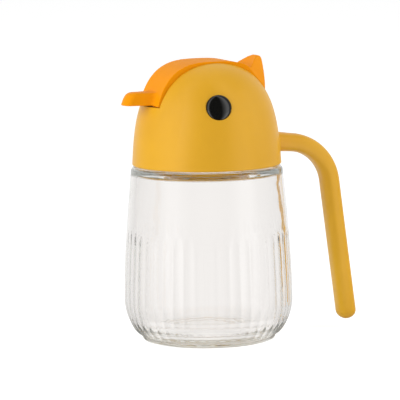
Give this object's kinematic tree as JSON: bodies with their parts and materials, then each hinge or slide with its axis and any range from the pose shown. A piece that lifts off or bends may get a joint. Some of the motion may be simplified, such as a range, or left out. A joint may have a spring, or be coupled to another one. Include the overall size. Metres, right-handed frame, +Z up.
{
  "type": "oil dispenser bottle",
  "caption": "Fluted glass oil bottle with a bird-head screw cap: a gravity-operated flip lid with a beak over the pour spout, and a free-ended side handle.",
  "frame": {"origin": "middle of the part's bounding box in plan, at the height of the bottle's foot", "axes": "+Z up along the bottle's axis; the beak points along -X and the handle stands at +X; the part is symmetric about the XZ plane"},
  "size_m": [0.1477, 0.1, 0.1678],
  "materials": {
    "glass": "clear, fire polished",
    "yellow_plastic": "satin",
    "orange_plastic": "satin",
    "black_plastic": "gloss",
    "white_plastic": "satin",
    "silicone": "matte",
    "steel": "brushed"
  },
  "bodies": {
    "bottle": {"glass_bottle": "glass"},
    "collar": {"neck_gasket": "silicone"},
    "head": {"head_shell": "yellow_plastic", "inner_cover": "yellow_plastic", "pour_spout": "white_plastic", "handle": "yellow_plastic", "handle_screw_lower": "steel", "handle_screw_upper": "steel", "hinge_pin": "steel", "eye_left": "black_plastic", "eye_right": "black_plastic"},
    "lid": {"flip_lid": "orange_plastic", "counterweight": "steel", "weight_plug": "white_plastic", "spout_seal": "silicone"}
  },
  "joints": [
    {"name": "head_lift", "type": "slide", "parent": "bottle", "child": "collar", "axis": [0, 0, 1], "range_m": [0, 0.075]},
    {"name": "head_turn", "type": "hinge", "parent": "collar", "child": "head", "pos_m": [-0.02121, 0, 0.12], "axis": [0, 0, 1], "range_deg": [0, 450]},
    {"name": "lid_flip", "type": "hinge", "parent": "head", "child": "lid", "pos_m": [-0.00221, 0, 0.1535], "axis": [0, 1, 0], "range_deg": [0, 40]}
  ]
}
